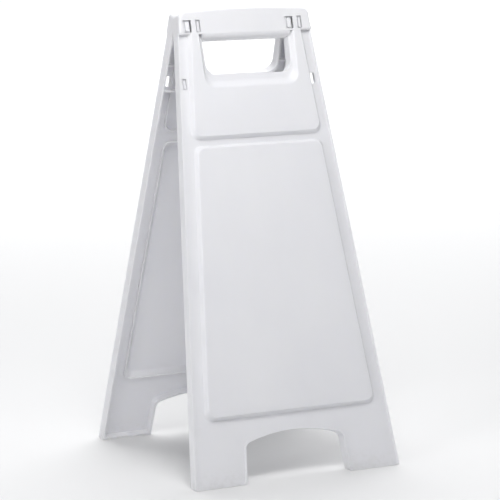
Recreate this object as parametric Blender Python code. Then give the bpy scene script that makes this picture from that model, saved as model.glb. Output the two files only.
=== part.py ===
"""White moulded sandwich board: two identical shell panels on hinge hooks and pins, with storage latches.

Every panel shape is drawn in the panel's own frame: X across, Z up along the panel, the outer
side towards -Y, and the hinge axis along X through the origin. The two leaves then stand the
same shapes up, leaning against each other. Metres, +Z up.
"""
import math

import bmesh
import bpy
from mathutils import Vector

# Stance
HINGE_Z = 0.612          # height of the hinge axis above the floor
LEAN = math.radians(14.6)    # each panel's lean from upright

# Panel outline, in the panel's own frame
FOOT_Z = -0.6370         # foot line of the outer face
TOP_Z = 0.0245           # middle of the crowned top edge
FOOT_WIDTH = 0.315
TOP_WIDTH = 0.199
TOP_CROWN = 0.0040       # rise of the top edge over its ends
TOP_CORNER = 0.008
ARCH_HALF_FOOT = 0.0798  # half the arch's width at the floor
ARCH_HALF_TOP = 0.0745   # half the arch's width at its shoulders
ARCH_SHOULDER_Z = -0.5810
ARCH_RISE = 0.0124
ARCH_CORNER = 0.010
FOOT_CORNER = 0.004

# Shell
WALL = 0.003
DEPTH = 0.017            # from the hinge plane to the top of the rim bead
FOLD_GAP = 0.0004        # each flange edge stops this short of the hinge plane
RIM_WIDTH = 0.0024
RIM_HEIGHT = 0.0015
BORDER_Y = -(DEPTH - RIM_HEIGHT)
MOUND = 0.0068           # how far the sign faces and the bar stand out of the border
FACE_Y = BORDER_Y - MOUND
TOUCH_GAP = 0.0003       # gap between pieces that touch
PAST = 0.001             # how far a cutter or a root runs past the face it meets
MERGE_REACH = 0.000001   # points closer than this are made one

# Raised sign faces
MAIN_TOP_Z = -0.1660
MAIN_BOTTOM_Z = -0.5458
MAIN_MARGIN = 0.0168
HEADER_BOTTOM_Z = -0.1592
HEADER_MARGIN = 0.0133
FACE_SLOPE = 0.0057      # width of the walls round each raised face
HEADER_TOP_Z = 0.001     # the header runs on this high behind the carrying bar
FACE_CORNER = 0.011
SLOPE_STEPS = 6

# Carrying bar and hand hole
BAR_BOTTOM_Z = -0.0112
BAR_EDGE = 0.0030        # rounding of the bar's outer edges
BAR_CORNER = 0.002
BAR_INSET = 0.00005      # keeps the bar's sides just off the panel's own
LOW_BAR_DROP = 0.0002    # the bar's hollow reaches this far below its foot line
HOLE_HALF = 0.0670
HOLE_BOTTOM_Z = -0.0688
HOLE_CORNER = 0.016
HOLE_TAPER = 0.0015
DISH_SIDE = 0.0075       # width of the slope beside the hand hole
DISH_BOTTOM = 0.0202     # height of the sill and the slope below it
DISH_LIP = 0.0016        # flat lip beside the hand hole
DISH_SILL = 0.0062       # flat sill below it
BELLY_Z = -0.0185        # lowest line of the bar's rounded underside
BELLY_Y = -0.0120
BELLY_WALL = 0.003
BELLY_STEPS = 10
WEB = 0.003              # web between the bar's inside and the legs'

# Hinge: windows, hooks and pins
WINDOWS = (("left_outer", -0.0893, 0.0125, 0.0060),
           ("left_inner", -0.0732, 0.0070, 0.0035),
           ("right_inner", 0.0681, 0.0125, 0.0060),
           ("right_outer", 0.0842, 0.0070, 0.0035))
WINDOW_BOTTOM = -0.0086
WINDOW_TOP = 0.0089
WINDOW_CORNER = 0.0006
WINDOW_BACK_Y = -0.0120
PIN_RADIUS = 0.0030
PIN_HEAD_RADIUS = 0.0044
PIN_HEAD = 0.0013
PIN_EDGE = 0.0004
PIN_CLEARANCE = 0.0002
STOP_REACH = 0.004       # the stop faces run this far below the hinge axis
PIN_ENDS = (0.0618, 0.0962)
EYE_RADIUS = 0.0066
EYE_STEPS = 24
SHANK_HALF = 0.0046
SHANK_END_Y = -0.0040
PLATE_BACK_Y = -0.0150
PLATE_BOTTOM = -0.0077
PLATE_TOP = 0.0118
TAB_SINK = 0.0008        # each tab stops this far inside its window
TAB_BOTTOM = -0.0068
TAB_TOP = 0.0064
TAB_INSET = 0.0001
PLATE_RIM = 0.0016       # how far each plate stands out past its tab

# Storage latch and its slot
LATCH_Z = -0.0799
SLOT_INSET = 0.0115      # from the panel's edge to the middle of the slot
SLOT_WIDTH = 0.0075
SLOT_HEIGHT = 0.0160
SLOT_CORNER = 0.0033
LATCH_INSET = 0.0080     # from the panel's edge to the middle of the latch's window
LATCH_WINDOW_WIDTH = 0.0060
LATCH_WINDOW_HEIGHT = 0.0160
CUT_BACK_Y = -0.0080     # the slot and the latch window are cut to here
ARM_INSET = 0.0095       # from the panel's edge to the middle of the latch's arm
LATCH_HEIGHT = 0.0100
LATCH_PLATE_RIM = 0.0050
LATCH_PLATE = 0.0020
LATCH_TAB_WIDTH = 0.0028
LATCH_TAB_RIM = 0.0010
LATCH_THICKNESS = 0.0022
LATCH_REACH = 0.0205     # how far the latch stands past the hinge plane
BARB = 0.0012
BARB_LENGTH = 0.0032

# Inner ribs
RIB = 0.0020
RIB_DEPTH_Y = -0.0040    # ribs stop this far from the hinge plane
RECESS_INSET = 0.0055    # the recess behind a raised face starts this far inside the face's base
MAIN_RECESS_SPREAD = 1.5     # width of the main recess's walls against the face's own
HEADER_RECESS_SPREAD = 0.3
RECESS_BEAD = 0.0018     # width of the bead round each recess
RECESS_BEAD_HEIGHT = 0.0030
RECESS_BEAD_START = RECESS_INSET - 0.0016
LEG_RIBS = ((-0.0545, 0.0685), (-0.0925, 0.0800))    # height and inner end of each

PLASTIC = (0.87, 0.87, 0.89)
PIN_PLASTIC = (0.80, 0.80, 0.82)
FAR = 0.4                # reach of the cutters that trim a whole side
SMOOTH_FROM = math.radians(30)    # edges sharper than this stay sharp


def clear_scene():
    """Empties the scene."""
    for item in list(bpy.data.objects):
        bpy.data.objects.remove(item, do_unlink=True)


def half_width(z):
    """Half the panel's width at a height z along it."""
    share = (z - FOOT_Z) / (TOP_Z - FOOT_Z)
    return (FOOT_WIDTH + (TOP_WIDTH - FOOT_WIDTH) * share) / 2


def bow(x_from, x_to, z_ends, rise, steps=8):
    """Points of a shallow crown between two ends, which are left out."""
    reach = abs(x_to - x_from) / 2
    points = []
    for step in range(1, steps):
        x = x_from + (x_to - x_from) * step / steps
        middle = (x_from + x_to) / 2
        points.append((x, z_ends + rise * (1 - ((x - middle) / reach) ** 2), 0))
    return points


def fillet(corners, steps=6):
    """Outline through corners given as (x, z, radius), each rounded by an arc."""
    points = []
    for index, (x, z, radius) in enumerate(corners):
        here = Vector((x, z))
        if radius == 0:
            points.append(here)
            continue
        before = (Vector(corners[index - 1][:2]) - here).normalized()
        after = (Vector(corners[(index + 1) % len(corners)][:2]) - here).normalized()
        half = before.angle(after) / 2
        centre = here + (before + after).normalized() * (radius / math.sin(half))
        start = here + before * (radius / math.tan(half)) - centre
        end = here + after * (radius / math.tan(half)) - centre
        first = math.atan2(start.y, start.x)
        turn = (math.atan2(end.y, end.x) - first + math.pi) % (2 * math.pi) - math.pi
        for step in range(steps + 1):
            angle = first + turn * step / steps
            points.append(centre + radius * Vector((math.cos(angle), math.sin(angle))))
    return points


def rectangle(x_low, x_high, z_low, z_high, radius=0):
    """Outline of an upright rectangle, with round corners if a radius is given."""
    return fillet([(x_low, z_low, radius), (x_high, z_low, radius),
                   (x_high, z_high, radius), (x_low, z_high, radius)])


def panel_outline(inset, foot_z=FOOT_Z, top_z=TOP_Z):
    """Outline of the whole panel with its arch, drawn smaller by an inset."""
    foot = foot_z + inset
    shoulder = ARCH_SHOULDER_Z + inset
    top = top_z - TOP_CROWN - inset
    outer_foot = half_width(foot) - inset
    arch_foot = ARCH_HALF_FOOT + inset
    arch_top = ARCH_HALF_TOP + inset
    outer_top = half_width(top) - inset
    corners = [(-outer_foot, foot, FOOT_CORNER), (-arch_foot, foot, FOOT_CORNER),
               (-arch_top, shoulder, ARCH_CORNER)]
    corners += bow(-arch_top, arch_top, shoulder, ARCH_RISE)
    corners += [(arch_top, shoulder, ARCH_CORNER), (arch_foot, foot, FOOT_CORNER),
                (outer_foot, foot, FOOT_CORNER), (outer_top, top, TOP_CORNER)]
    corners += bow(outer_top, -outer_top, top, TOP_CROWN)
    corners.append((-outer_top, top, TOP_CORNER))
    return fillet(corners)


def bar_outline(inset):
    """Outline of the carrying bar across the whole top of the panel."""
    top = TOP_Z - TOP_CROWN - inset
    bottom = BAR_BOTTOM_Z + inset
    low_half = half_width(bottom) - inset
    high_half = half_width(top) - inset
    corners = [(-low_half, bottom, BAR_CORNER), (low_half, bottom, BAR_CORNER),
               (high_half, top, TOP_CORNER)]
    corners += bow(high_half, -high_half, top, TOP_CROWN)
    corners.append((-high_half, top, TOP_CORNER))
    return fillet(corners)


def sign_outline(margin, bottom, top, radius=FACE_CORNER):
    """Outline that follows the panel's tapering sides at a margin from its edge."""
    low = half_width(bottom) - margin
    high = half_width(top) - margin
    return fillet([(-low, bottom, radius), (low, bottom, radius),
                   (high, top, radius), (-high, top, radius)])


def hole_outline(grow, below=None):
    """Outline of the hand hole drawn larger by grow, its bottom by below."""
    bottom = HOLE_BOTTOM_Z - (grow if below is None else below)
    half = HOLE_HALF + grow
    return fillet([(-half + HOLE_TAPER, bottom, HOLE_CORNER), (half - HOLE_TAPER, bottom, HOLE_CORNER),
                   (half, BAR_BOTTOM_Z, 0), (-half, BAR_BOTTOM_Z, 0)])


def loft(name, rings):
    """Closed solid through outlines given as (y, points), from the outer side to the inner one."""
    mesh = bpy.data.meshes.new(name)
    shape = bmesh.new()
    loops = [[shape.verts.new((x, y, z)) for x, z in points] for y, points in rings]
    shape.faces.new(loops[0])
    shape.faces.new(list(reversed(loops[-1])))
    for near, far in zip(loops, loops[1:]):
        for index in range(len(near)):
            following = (index + 1) % len(near)
            shape.faces.new((near[index], far[index], far[following], near[following]))
    bmesh.ops.recalc_face_normals(shape, faces=shape.faces)
    shape.to_mesh(mesh)
    shape.free()
    return link(name, mesh)


def extrude(name, points, vector):
    """Closed solid of a flat outline carried along a vector."""
    mesh = bpy.data.meshes.new(name)
    shape = bmesh.new()
    face = shape.faces.new([shape.verts.new(point) for point in points])
    grown = bmesh.ops.extrude_face_region(shape, geom=[face])
    moved = [item for item in grown["geom"] if isinstance(item, bmesh.types.BMVert)]
    bmesh.ops.translate(shape, verts=moved, vec=vector)
    bmesh.ops.recalc_face_normals(shape, faces=shape.faces)
    shape.to_mesh(mesh)
    shape.free()
    return link(name, mesh)


def sweep(name, profile, x_from, x_to):
    """Closed solid of a (y, z) profile carried along X."""
    return extrude(name, [(x_from, y, z) for y, z in profile], (x_to - x_from, 0, 0))


def box(name, low, high):
    """Closed box between two corners."""
    profile = [(low[1], low[2]), (high[1], low[2]), (high[1], high[2]), (low[1], high[2])]
    return sweep(name, profile, low[0], high[0])


def link(name, mesh):
    """New object in the scene for a mesh."""
    item = bpy.data.objects.new(name, mesh)
    bpy.context.scene.collection.objects.link(item)
    return item


def combine(target, operation, *tools):
    """Adds one Boolean modifier per tool to the target and hides the tools."""
    for tool in tools:
        modifier = target.modifiers.new(tool.name, "BOOLEAN")
        modifier.operation = operation
        modifier.object = tool
        modifier.solver = "EXACT"
        tool.hide_render = True
        tool.display_type = "WIRE"


def freeze(item, name):
    """Mesh of an object with its modifiers worked in; every scratch object is then removed."""
    depsgraph = bpy.context.evaluated_depsgraph_get()
    mesh = bpy.data.meshes.new_from_object(item.evaluated_get(depsgraph), depsgraph=depsgraph)
    mesh.name = name
    shape = bmesh.new()
    shape.from_mesh(mesh)
    bmesh.ops.remove_doubles(shape, verts=shape.verts, dist=MERGE_REACH)
    bmesh.ops.dissolve_degenerate(shape, edges=shape.edges, dist=MERGE_REACH)
    bmesh.ops.triangulate(shape, faces=shape.faces)
    shape.to_mesh(mesh)
    shape.free()
    mesh.shade_smooth()
    mesh.set_sharp_from_angle(angle=SMOOTH_FROM)
    clear_scene()
    return mesh


def plastic(name, colour, roughness):
    """Opaque moulded plastic."""
    material = bpy.data.materials.new(name)
    material.use_nodes = True
    shader = material.node_tree.nodes["Principled BSDF"]
    shader.inputs["Base Color"].default_value = (*colour, 1)
    shader.inputs["Roughness"].default_value = roughness
    shader.inputs["Metallic"].default_value = 0.0
    return material


def slope_rise(step):
    """Height of an S-shaped slope, from 0 to 1, after so many of its steps."""
    return (1 - math.cos(math.pi * step / SLOPE_STEPS)) / 2


def mound(name, outline, base_y, face_y):
    """Raised face: outlines drawn in along an S-shaped slope from its base to its top."""
    rings = [(base_y + PAST, outline(0))]
    for step in range(SLOPE_STEPS + 1):
        y = base_y + (face_y - base_y) * slope_rise(step)
        rings.append((y, outline(FACE_SLOPE * step / SLOPE_STEPS)))
    return loft(name, list(reversed(rings)))


def dish_form(name, back):
    """Dish round the hand hole, or with back above 0 the wall's thickness behind it."""
    rings = []
    for step in range(SLOPE_STEPS + 1):
        share = step / SLOPE_STEPS
        y = BORDER_Y + back + (FACE_Y - BORDER_Y) * slope_rise(step)
        side = DISH_LIP + back + (DISH_SIDE - DISH_LIP) * share
        bottom = DISH_SILL + back + (DISH_BOTTOM - DISH_SILL) * share
        rings.append((y, hole_outline(side, bottom)))
    rings.append((FACE_Y - PAST, rings[-1][1]))
    return loft(name, list(reversed(rings)))


def main_outline(inset):
    """Main sign face's outline, drawn in by an inset."""
    return sign_outline(MAIN_MARGIN + inset, MAIN_BOTTOM_Z + inset, MAIN_TOP_Z - inset)


def header_outline(inset):
    """Header face's outline; its top runs on behind the carrying bar."""
    return sign_outline(HEADER_MARGIN + inset, HEADER_BOTTOM_Z + inset, HEADER_TOP_Z)


def main_recess_outline(inset):
    """Outline of the recess behind the main face, whose walls are wider than the face's."""
    return main_outline(RECESS_INSET + inset * MAIN_RECESS_SPREAD)


def header_recess_outline(inset):
    """Outline of the recess behind the header face, closed off below the bar by the web."""
    inset = RECESS_INSET + inset * HEADER_RECESS_SPREAD
    return sign_outline(HEADER_MARGIN + inset, HEADER_BOTTOM_Z + inset, BAR_BOTTOM_Z - WEB)


def outer_form():
    """Solid outer form of the panel, before it is hollowed."""
    form = loft("form", [(-DEPTH, panel_outline(0)), (-FOLD_GAP, panel_outline(0))])
    sunk = loft("sunk_face", [(-DEPTH - PAST, panel_outline(RIM_WIDTH)),
                              (BORDER_Y, panel_outline(RIM_WIDTH))])
    main = mound("main_mound", main_outline, BORDER_Y, FACE_Y)
    header = mound("header_mound", header_outline, BORDER_Y, FACE_Y)
    bar = loft("bar_form", [(FACE_Y, bar_outline(BAR_EDGE)),
                            (FACE_Y + BAR_EDGE * 0.1, bar_outline(BAR_EDGE * 0.6)),
                            (FACE_Y + BAR_EDGE * 0.3, bar_outline(BAR_EDGE * 0.3)),
                            (FACE_Y + BAR_EDGE * 0.6, bar_outline(BAR_EDGE * 0.1)),
                            (FACE_Y + BAR_EDGE, bar_outline(BAR_INSET)),
                            (-FOLD_GAP - BAR_INSET, bar_outline(BAR_INSET))])
    combine(form, "DIFFERENCE", sunk)
    combine(header, "DIFFERENCE", dish_form("dish", 0))
    combine(form, "UNION", main, header, bar)
    return form


def hollow_form():
    """Solid form of everything that is hollow inside the panel."""
    floor_line = -HINGE_Z / math.cos(LEAN)
    inside_y = BORDER_Y + WALL
    inside = panel_outline(WALL, floor_line, BAR_BOTTOM_Z - WEB)
    shell = loft("shell_hollow", [(inside_y, inside), (PAST, inside)])
    main = mound("main_hollow", main_recess_outline, inside_y, FACE_Y + WALL)
    header = mound("header_hollow", header_recess_outline, inside_y, FACE_Y + WALL)
    collar = loft("collar", [(FACE_Y, hole_outline(WALL)), (2 * PAST, hole_outline(WALL))])
    bar = loft("bar_hollow", [(FACE_Y + WALL, bar_outline(WALL + BAR_EDGE * 0.2)),
                              (FACE_Y + WALL + BAR_EDGE * 0.5, bar_outline(WALL)),
                              (2 * PAST, bar_outline(WALL))])
    side = half_width(0) - WALL - PAST
    low_bar = box("low_bar_hollow", (-side, inside_y, BAR_BOTTOM_Z - LOW_BAR_DROP), (side, 2 * PAST, 0))
    combine(header, "DIFFERENCE", dish_form("dish_back", WALL - BAR_INSET))
    combine(shell, "UNION", main, header)
    combine(shell, "DIFFERENCE", collar)
    combine(bar, "UNION", low_bar)
    combine(shell, "UNION", bar)
    return shell


def belly_form():
    """Rounded underside of the carrying bar, over the hand hole."""
    root_z = BAR_BOTTOM_Z + PAST
    back_y = -FOLD_GAP - TOUCH_GAP
    reach_y = BELLY_Y - FACE_Y - TOUCH_GAP
    reach_z = root_z - BELLY_Z
    profile = []
    for step in range(BELLY_STEPS + 1):
        angle = math.pi / 2 * step / BELLY_STEPS
        profile.append((BELLY_Y - reach_y * math.cos(angle), root_z - reach_z * math.sin(angle)))
    profile += [(back_y, BELLY_Z), (back_y, root_z)]
    belly = sweep("belly", profile, -HOLE_HALF - PAST, HOLE_HALF + PAST)
    inside = box("belly_hollow", (-HOLE_HALF + WALL, BELLY_Y, BELLY_Z + BELLY_WALL),
                 (HOLE_HALF - WALL, 2 * PAST, 0))
    combine(belly, "DIFFERENCE", inside)
    return belly


def leaf_cutter(name, low, high):
    """Box cutter with its corners given in the standing frame, seen from the hinge axis."""
    cutter = box(name, low, high)
    cutter.rotation_euler = (LEAN, 0, 0)
    return cutter


def recess_bead(name, outline):
    """Bead round the recess behind a raised face, up to the web below the bar."""
    foot_y = BORDER_Y + WALL / 2
    top_y = BORDER_Y + WALL + RECESS_BEAD_HEIGHT
    outside = outline(RECESS_BEAD_START)
    within = outline(RECESS_BEAD_START + RECESS_BEAD)
    bead = loft(name, [(foot_y, outside), (top_y, outside)])
    inside = loft(name + "_inside", [(foot_y - PAST, within), (top_y + PAST, within)])
    above = box(name + "_above", (-FAR, foot_y - PAST, BAR_BOTTOM_Z - WEB), (FAR, top_y + PAST, FAR))
    combine(bead, "DIFFERENCE", inside, above)
    return bead


def cut_through(panel, name, outline, back_y):
    """Cuts an outline out of the panel from its outer side down to a depth."""
    combine(panel, "DIFFERENCE", loft(name, [(FACE_Y - PAST, outline), (back_y, outline)]))


def panel_mesh():
    """One panel moulding, in its own frame."""
    panel = outer_form()
    combine(panel, "DIFFERENCE", hollow_form())
    cut_through(panel, "hand_hole", hole_outline(0), 3 * PAST)
    combine(panel, "UNION", belly_form())
    for name, x, width, _ in WINDOWS:
        outline = rectangle(x - width / 2, x + width / 2, WINDOW_BOTTOM, WINDOW_TOP, WINDOW_CORNER)
        cut_through(panel, "window_" + name, outline, WINDOW_BACK_Y)
    slot_x = half_width(LATCH_Z) - SLOT_INSET
    latch_x = -half_width(LATCH_Z) + LATCH_INSET
    slot = rectangle(slot_x - SLOT_WIDTH / 2, slot_x + SLOT_WIDTH / 2,
                     LATCH_Z - SLOT_HEIGHT / 2, LATCH_Z + SLOT_HEIGHT / 2, SLOT_CORNER)
    root = rectangle(latch_x - LATCH_WINDOW_WIDTH / 2, latch_x + LATCH_WINDOW_WIDTH / 2,
                     LATCH_Z - LATCH_WINDOW_HEIGHT / 2, LATCH_Z + LATCH_WINDOW_HEIGHT / 2, WINDOW_CORNER)
    cut_through(panel, "slot", slot, CUT_BACK_Y)
    cut_through(panel, "latch_window", root, CUT_BACK_Y)
    for rib_z, inner_end in LEG_RIBS:
        for side in (-1, 1):
            ends = sorted((side * inner_end, side * (half_width(rib_z) - WALL / 2)))
            rib = box(f"rib_{side}_{rib_z}", (ends[0], BORDER_Y + WALL / 2, rib_z - RIB / 2),
                      (ends[1], RIB_DEPTH_Y, rib_z + RIB / 2))
            combine(panel, "UNION", rib)
    combine(panel, "UNION", recess_bead("main_bead", main_outline),
            recess_bead("header_bead", header_outline))
    stop = leaf_cutter("stop_cutter", (-FAR, -TOUCH_GAP / 2, -STOP_REACH), (FAR, FAR, FAR))
    floor = leaf_cutter("floor_cutter", (-FAR, -FAR, -HINGE_Z - FAR), (FAR, FAR, -HINGE_Z))
    combine(panel, "DIFFERENCE", stop, floor)
    return freeze(panel, "panel_moulding")


def eye_profile(radius):
    """Circle round the hinge axis in the (y, z) plane."""
    angles = [math.tau * step / EYE_STEPS for step in range(EYE_STEPS)]
    return [(radius * math.cos(angle), radius * math.sin(angle)) for angle in angles]


def hook_mesh(name, x, width):
    """Hinge hook: a tab that shows in its window, a plate behind the wall, a shank and an eye."""
    low, high = x - width / 2, x + width / 2
    plate_y = FACE_Y + WALL + TOUCH_GAP
    hook = sweep("hook", eye_profile(EYE_RADIUS), low, high)
    shank = box("shank", (low + TAB_INSET / 2, PLATE_BACK_Y - TAB_SINK, -SHANK_HALF),
                (high - TAB_INSET / 2, SHANK_END_Y, SHANK_HALF))
    plate = box("plate", (low - PLATE_RIM, plate_y, PLATE_BOTTOM),
                (high + PLATE_RIM, PLATE_BACK_Y, PLATE_TOP))
    tab = box("tab", (low + TAB_INSET, FACE_Y + TAB_SINK, TAB_BOTTOM),
              (high - TAB_INSET, plate_y + TAB_SINK, TAB_TOP))
    bore = sweep("bore", eye_profile(PIN_RADIUS + PIN_CLEARANCE), low - PAST, high + PAST)
    combine(hook, "UNION", shank, plate, tab)
    combine(hook, "DIFFERENCE", bore)
    return freeze(hook, name)


def pin_mesh(side):
    """Hinge pin with a head at each end, turned about the hinge axis."""
    near, far = PIN_ENDS
    stations = [(near, PIN_HEAD_RADIUS - PIN_EDGE), (near + PIN_EDGE, PIN_HEAD_RADIUS),
                (near + PIN_HEAD, PIN_HEAD_RADIUS), (near + PIN_HEAD, PIN_RADIUS),
                (far - PIN_HEAD, PIN_RADIUS), (far - PIN_HEAD, PIN_HEAD_RADIUS),
                (far - PIN_EDGE, PIN_HEAD_RADIUS), (far, PIN_HEAD_RADIUS - PIN_EDGE)]
    mesh = bpy.data.meshes.new("hinge_pin")
    shape = bmesh.new()
    rings = []
    for x, radius in stations:
        rings.append([shape.verts.new((side * x, y, z)) for y, z in eye_profile(radius)])
    shape.faces.new(rings[0])
    shape.faces.new(list(reversed(rings[-1])))
    for near_ring, far_ring in zip(rings, rings[1:]):
        for index in range(len(near_ring)):
            following = (index + 1) % len(near_ring)
            shape.faces.new((near_ring[index], far_ring[index],
                             far_ring[following], near_ring[following]))
    bmesh.ops.recalc_face_normals(shape, faces=shape.faces)
    shape.to_mesh(mesh)
    shape.free()
    mesh.shade_smooth()
    mesh.set_sharp_from_angle(angle=SMOOTH_FROM)
    return mesh


def latch_mesh():
    """Storage latch: a tab in its window, a plate behind the wall and an arm with a barb."""
    middle = -half_width(LATCH_Z) + LATCH_INSET
    low = -half_width(LATCH_Z) + ARM_INSET - LATCH_THICKNESS / 2
    high = low + LATCH_THICKNESS
    bottom, top = LATCH_Z - LATCH_HEIGHT / 2, LATCH_Z + LATCH_HEIGHT / 2
    plate_y = BORDER_Y + WALL + TOUCH_GAP
    barb_y = LATCH_REACH - BARB_LENGTH
    outline = [(low, plate_y + TAB_SINK), (high, plate_y + TAB_SINK), (high, barb_y),
               (high + BARB, barb_y), (high, LATCH_REACH), (low, LATCH_REACH)]
    arm = extrude("latch_arm", [(x, y, bottom) for x, y in outline], (0, 0, top - bottom))
    plate = box("latch_plate", (middle - LATCH_WINDOW_WIDTH / 2, plate_y, bottom - LATCH_PLATE_RIM),
                (middle + LATCH_WINDOW_WIDTH / 2, plate_y + LATCH_PLATE, top + LATCH_PLATE_RIM))
    tab = box("latch_tab", (middle - LATCH_TAB_WIDTH / 2, BORDER_Y + TAB_SINK, bottom - LATCH_TAB_RIM),
              (middle + LATCH_TAB_WIDTH / 2, plate_y + TAB_SINK, top + LATCH_TAB_RIM))
    combine(arm, "UNION", plate, tab)
    return freeze(arm, "latch_moulding")


def add_leaf(name, half_turns):
    """Empty on the hinge axis that leans its panel outwards."""
    leaf = bpy.data.objects.new(name, None)
    bpy.context.scene.collection.objects.link(leaf)
    leaf.location = (0, 0, HINGE_Z)
    leaf.rotation_euler = (-LEAN, 0, math.pi * half_turns)
    return leaf


def add_piece(name, mesh, leaf, material):
    """Piece of one leaf, in the leaf's frame."""
    mesh.materials.clear()
    mesh.materials.append(material)
    item = link(name, mesh)
    item.parent = leaf


def main():
    clear_scene()
    panel = panel_mesh()
    hooks = [(name, hook_mesh("hook_" + name, x, width)) for name, x, _, width in WINDOWS]
    latch = latch_mesh()
    white = plastic("white_polypropylene", PLASTIC, 0.42)
    grey = plastic("hinge_pin_acetal", PIN_PLASTIC, 0.35)
    for side, half_turns in (("front", 0), ("rear", 1)):
        leaf = add_leaf(side + "_leaf", half_turns)
        add_piece(side + "_panel", panel, leaf, white)
        for name, mesh in hooks:
            add_piece(f"{side}_hinge_hook_{name}", mesh, leaf, white)
        add_piece(side + "_latch", latch, leaf, white)
        if side == "front":
            add_piece("left_hinge_pin", pin_mesh(-1), leaf, grey)
            add_piece("right_hinge_pin", pin_mesh(1), leaf, grey)


main()
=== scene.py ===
import math

import bpy
from mathutils import Matrix, Vector


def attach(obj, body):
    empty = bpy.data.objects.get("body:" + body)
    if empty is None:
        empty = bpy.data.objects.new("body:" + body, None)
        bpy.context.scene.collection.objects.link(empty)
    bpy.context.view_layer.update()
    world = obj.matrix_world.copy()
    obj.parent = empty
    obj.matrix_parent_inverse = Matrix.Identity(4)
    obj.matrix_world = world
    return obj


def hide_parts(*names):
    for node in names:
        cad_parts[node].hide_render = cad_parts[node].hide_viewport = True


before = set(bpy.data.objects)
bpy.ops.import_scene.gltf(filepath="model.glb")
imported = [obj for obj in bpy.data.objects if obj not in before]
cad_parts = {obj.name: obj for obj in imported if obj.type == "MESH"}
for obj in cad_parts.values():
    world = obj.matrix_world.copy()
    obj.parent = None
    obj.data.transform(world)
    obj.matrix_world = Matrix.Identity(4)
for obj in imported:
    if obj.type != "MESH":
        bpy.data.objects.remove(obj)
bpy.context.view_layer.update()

bpy.ops.object.select_all(action="DESELECT")


# Front and rear panel: the same shell twice, injection moulded in white polypropylene with a rim
# bead, raised sign faces and a hollow carrying bar. The tool's edges are broken and its faces are
# spark eroded, which leaves a fine satin grain, faint flow lines and slightly sunken broad faces.
PANEL_EDGE = 0.00035
PANEL_WHITE = (0.802, 0.801, 0.817)
PANEL_SHADE = (0.774, 0.774, 0.795)
PANEL_ROUGHNESS = 0.42
PANEL_GRAIN_SCALE = 1300
PANEL_GRAIN_DEPTH = 0.00010
CLOUD_SCALE = 7          # broad clouds of shade, where the faces have sunk a little
CLOUD_RANGE = (0.35, 0.65)
CLOUD_SHARE = 0.6
FLOW_STRETCH = (26, 26, 5)       # flow lines run up from the foot
FLOW_RANGE = (0.3, 0.7)
FLOW_SHARE = 0.4
RUB_STRETCH = (1500, 900, 40)    # rub marks are fine and upright
RUB_RANGE = (0.62, 0.75)
GRIME_SCALE = 160
GRIME_RANGE = (0.42, 0.72)
GRIME_FROM_FLOOR = (0.001, 0.030)
GRIME_SHARE = 0.35
FOOT_GREY = (0.640, 0.632, 0.618)
FLOW_DULLING = 0.05      # what each kind of mark adds to the roughness
GRAIN_DULLING = 0.06
RUB_DULLING = 0.08
GRIME_DULLING = 0.15
POLISH = 0.05            # taken off again, so the average stays the plastic's own
GRAIN_STRENGTH = 0.6
WAVE_STRENGTH = 0.5
WAVE_DEPTH = 0.0006
PLASTIC_IOR = 1.49
GLOW = 0.6               # share of the light that travels through the wall
GLOW_DEPTH = 0.0035      # how far it travels
GLOW_BY_COLOUR = (1.0, 1.0, 1.05)
MERGE_REACH = 0.00001            # points closer than this are made one
FLAT_WITHIN = math.radians(0.6)  # faces this close to flat are made one
EDGE_FROM = math.radians(32)     # edges sharper than this are rounded
EDGE_SEGMENTS = 3


class Shade:
    """A socket of a material; sums and products of it add the Math nodes they need."""

    def __init__(self, tree, socket=None):
        self.tree = tree
        self.socket = socket

    def node(self, kind, settings, values, output=0):
        """Adds a node: its settings are set first, then its sockets are filled or linked."""
        made = self.tree.nodes.new(kind)
        for name, value in settings.items():
            setattr(made, name, value)
        for key, value in values.items():
            if isinstance(value, Shade):
                self.tree.links.new(value.socket, made.inputs[key])
            else:
                made.inputs[key].default_value = value
        return Shade(self.tree, made.outputs[output])

    def math(self, operation, first, second):
        return self.node("ShaderNodeMath", {"operation": operation}, {0: first, 1: second})

    def __add__(self, other):
        return self.math("ADD", self, other)

    __radd__ = __add__

    def __sub__(self, other):
        return self.math("SUBTRACT", self, other)

    def __rsub__(self, other):
        return self.math("SUBTRACT", other, self)

    def __mul__(self, other):
        return self.math("MULTIPLY", self, other)

    __rmul__ = __mul__

    def ramp(self, low, high):
        """This value spread from 0 at low to 1 at high, held to that range."""
        return self.node("ShaderNodeMapRange", {}, {"Value": self, "From Min": low, "From Max": high})

    def noise(self, place, scale, detail):
        return self.node("ShaderNodeTexNoise", {}, {"Vector": place, "Scale": scale, "Detail": detail})

    def stretched(self, place, scale):
        """Place drawn out along an axis, for marks that run one way."""
        return self.node("ShaderNodeMapping", {}, {"Vector": place, "Scale": scale})

    def mix(self, factor, first, second):
        """Colour between two colours."""
        settings = {"data_type": "RGBA"}
        return self.node("ShaderNodeMix", settings, {0: factor, 6: first, 7: second}, output=2)


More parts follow.
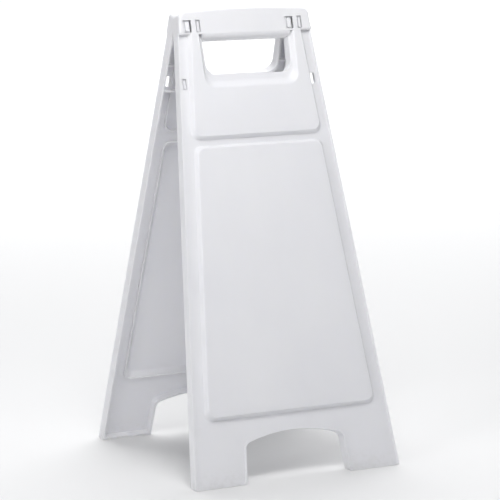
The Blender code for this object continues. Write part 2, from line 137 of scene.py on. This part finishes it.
def moulded_plastic(name, colour, shade, roughness, grain_scale, grain_depth):
    """Satin moulded plastic: fine grain, flow lines, fine rub marks and grime at floor level."""
    material = bpy.data.materials.new(name)
    material.use_nodes = True
    tree = material.node_tree
    shader = tree.nodes["Principled BSDF"]
    kit = Shade(tree)
    place = kit.node("ShaderNodeTexCoord", {}, {}, output="Object")
    clouds = kit.noise(place, scale=CLOUD_SCALE, detail=2).ramp(*CLOUD_RANGE)
    flow = kit.noise(kit.stretched(place, FLOW_STRETCH), scale=1, detail=3).ramp(*FLOW_RANGE)
    rub = kit.noise(kit.stretched(place, RUB_STRETCH), scale=1, detail=2).ramp(*RUB_RANGE)
    grain = kit.noise(place, scale=grain_scale, detail=3)
    height = kit.node("ShaderNodeSeparateXYZ", {}, {"Vector": place}, output="Z")
    patches = kit.noise(place, scale=GRIME_SCALE, detail=4).ramp(*GRIME_RANGE)
    grime = (1 - height.ramp(*GRIME_FROM_FLOOR)) * patches
    body = kit.mix(clouds * CLOUD_SHARE + flow * FLOW_SHARE, (*colour, 1), (*shade, 1))
    soiled = kit.mix(grime * GRIME_SHARE, body, (*FOOT_GREY, 1))
    finish = (flow * FLOW_DULLING + grain * GRAIN_DULLING + rub * RUB_DULLING
              + grime * GRIME_DULLING + (roughness - POLISH))
    grained = kit.node("ShaderNodeBump", {}, {"Strength": GRAIN_STRENGTH, "Distance": grain_depth,
                                              "Height": grain})
    waved = kit.node("ShaderNodeBump", {}, {"Strength": WAVE_STRENGTH, "Distance": WAVE_DEPTH,
                                            "Height": clouds, "Normal": grained})
    tree.links.new(soiled.socket, shader.inputs["Base Color"])
    tree.links.new(finish.socket, shader.inputs["Roughness"])
    tree.links.new(waved.socket, shader.inputs["Normal"])
    shader.inputs["IOR"].default_value = PLASTIC_IOR
    shader.inputs["Subsurface Weight"].default_value = GLOW
    shader.inputs["Subsurface Scale"].default_value = GLOW_DEPTH
    shader.inputs["Subsurface Radius"].default_value = GLOW_BY_COLOUR
    return material


def finished_moulding(node_name, body, edge, material):
    """Moulding with its edges rounded as the tool leaves them, standing for its plain node."""
    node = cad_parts[node_name]
    piece = node.copy()
    piece.data = node.data.copy()
    piece.name = node_name + ".moulding"
    bpy.context.scene.collection.objects.link(piece)
    bpy.context.view_layer.objects.active = piece
    piece.select_set(True)
    bpy.ops.object.mode_set(mode="EDIT")
    bpy.ops.mesh.select_all(action="SELECT")
    bpy.ops.mesh.remove_doubles(threshold=MERGE_REACH)
    bpy.ops.mesh.customdata_custom_splitnormals_clear()
    bpy.ops.mesh.dissolve_limited(angle_limit=FLAT_WITHIN)
    bpy.ops.object.mode_set(mode="OBJECT")
    rounding = piece.modifiers.new("broken_edges", "BEVEL")
    rounding.width = edge
    rounding.segments = EDGE_SEGMENTS
    rounding.limit_method = "ANGLE"
    rounding.angle_limit = EDGE_FROM
    rounding.miter_outer = "MITER_ARC"
    bpy.ops.object.modifier_apply(modifier=rounding.name)
    bpy.ops.object.shade_smooth_by_angle(angle=EDGE_FROM)
    flats = piece.modifiers.new("flat_faces", "WEIGHTED_NORMAL")
    flats.keep_sharp = True
    bpy.ops.object.modifier_apply(modifier=flats.name)
    piece.data.materials.clear()
    piece.data.materials.append(material)
    piece.select_set(False)
    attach(piece, body)
    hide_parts(node_name)


panel_plastic = moulded_plastic("satin_white_polypropylene", PANEL_WHITE, PANEL_SHADE,
                                PANEL_ROUGHNESS, PANEL_GRAIN_SCALE, PANEL_GRAIN_DEPTH)
for body in ("front", "rear"):
    finished_moulding(body + "_panel", body, PANEL_EDGE, panel_plastic)


# Hinge hooks: small separate mouldings that clip into the windows in the carrying bar. Each has a
# tab that shows in its window, a plate behind the wall, and an eye that turns on the hinge pin.
# They come from a polished tool, so they are smoother and a little brighter than the panels.
CLIP_EDGE = 0.00030
CLIP_WHITE = (0.815, 0.815, 0.835)
CLIP_SHADE = (0.790, 0.790, 0.815)
CLIP_ROUGHNESS = 0.34
CLIP_GRAIN_SCALE = 2600
CLIP_GRAIN_DEPTH = 0.00004
clip_plastic = moulded_plastic("smooth_white_polypropylene", CLIP_WHITE, CLIP_SHADE,
                               CLIP_ROUGHNESS, CLIP_GRAIN_SCALE, CLIP_GRAIN_DEPTH)
for body in ("front", "rear"):
    for window in ("left_outer", "left_inner", "right_inner", "right_outer"):
        finished_moulding(f"{body}_hinge_hook_{window}", body, CLIP_EDGE, clip_plastic)


# Storage latches: a thin barbed arm moulded in one with its plate, clipped into the left border of
# each panel from behind. Folded shut, each arm passes the slot in the other panel.
for body in ("front", "rear"):
    finished_moulding(body + "_latch", body, CLIP_EDGE, clip_plastic)


# Hinge pins: two turned acetal pins with a low head at each end, pushed through the eyes of the
# front and rear hooks, harder and glossier than the mouldings.
PIN_EDGE = 0.00015
PIN_WHITE = (0.740, 0.745, 0.760)
PIN_SHADE = (0.715, 0.720, 0.740)
PIN_ROUGHNESS = 0.24
PIN_GRAIN_SCALE = 3400
PIN_GRAIN_DEPTH = 0.00003
pin_plastic = moulded_plastic("turned_acetal", PIN_WHITE, PIN_SHADE,
                              PIN_ROUGHNESS, PIN_GRAIN_SCALE, PIN_GRAIN_DEPTH)
for side in ("left", "right"):
    finished_moulding(side + "_hinge_pin", "front", PIN_EDGE, pin_plastic)


# Studio: a pale matt floor and a dim, slightly cool sky. Two soft lamps hang over the front of the
# stand, so its faces fade towards the feet; one stands to the left and reaches between the panels;
# one hangs high above; and a wide panel of light over the floor behind keeps the ground white.
FLOOR_SIZE = 30
FLOOR_WHITE = (0.72, 0.72, 0.72)
FLOOR_ROUGHNESS = 0.9
SKY_COLOUR = (0.93, 0.95, 1.0)
SKY_STRENGTH = 0.24
# Each lamp's name, place, aim, width and watts
LAMPS = (("front_near", (-0.35, -0.82, 1.33), (0, -0.05, 0.4), 0.5, 6.5),
         ("front_high", (-0.10, -0.70, 1.70), (0, -0.05, 0.4), 0.6, 6.2),
         ("left", (-2.20, -1.00, 1.00), (0, 0, 0.35), 1.2, 14.5),
         ("above", (0.30, 0.60, 2.60), (0, 0, 0.3), 1.2, 3),
         ("ground", (3.50, 7.50, 4.50), (3.50, 7.50, 0), 14.5, 1200))

bpy.ops.mesh.primitive_plane_add(size=FLOOR_SIZE, location=(0, 0, 0))
floor = bpy.context.object
floor.name = "floor"
matt_floor = bpy.data.materials.new("matt_floor")
matt_floor.use_nodes = True
floor_shader = matt_floor.node_tree.nodes["Principled BSDF"]
floor_shader.inputs["Base Color"].default_value = (*FLOOR_WHITE, 1)
floor_shader.inputs["Roughness"].default_value = FLOOR_ROUGHNESS
floor.data.materials.append(matt_floor)

sky = bpy.data.worlds.new("studio")
sky.use_nodes = True
backdrop = sky.node_tree.nodes["Background"]
backdrop.inputs["Color"].default_value = (*SKY_COLOUR, 1)
backdrop.inputs["Strength"].default_value = SKY_STRENGTH
bpy.context.scene.world = sky

for name, place, aim, width, watts in LAMPS:
    bpy.ops.object.light_add(type="AREA", location=place)
    lamp = bpy.context.object
    lamp.name = name
    lamp.data.shape = "DISK"
    lamp.data.size = width
    lamp.data.energy = watts
    lamp.rotation_euler = (Vector(aim) - lamp.location).to_track_quat("-Z", "Y").to_euler()
bpy.context.scene.view_settings.view_transform = "Standard"


# Camera: a long lens on a tripod at waist height, a little to the left of the front panel and
# tipped down, so the stand fills the picture and the inside of the rear panel shows.
CAMERA_PLACE = (-1.4106, -2.9915, 0.8179)
CAMERA_TURN = -0.444
CAMERA_DIP = 0.157
CAMERA_ROLL = -0.013
SENSOR_WIDTH = 36        # millimetres, as the focal length is
FOCAL_LENGTH = 168.7
camera_data = bpy.data.cameras.new("camera")
camera_data.sensor_width = SENSOR_WIDTH
camera_data.lens = FOCAL_LENGTH
camera = bpy.data.objects.new("camera", camera_data)
bpy.context.scene.collection.objects.link(camera)
camera.matrix_world = (Matrix.Translation(CAMERA_PLACE)
                       @ Matrix.Rotation(CAMERA_TURN, 4, "Z")
                       @ Matrix.Rotation(math.pi / 2 - CAMERA_DIP, 4, "X")
                       @ Matrix.Rotation(CAMERA_ROLL, 4, "Z"))
bpy.context.scene.camera = camera
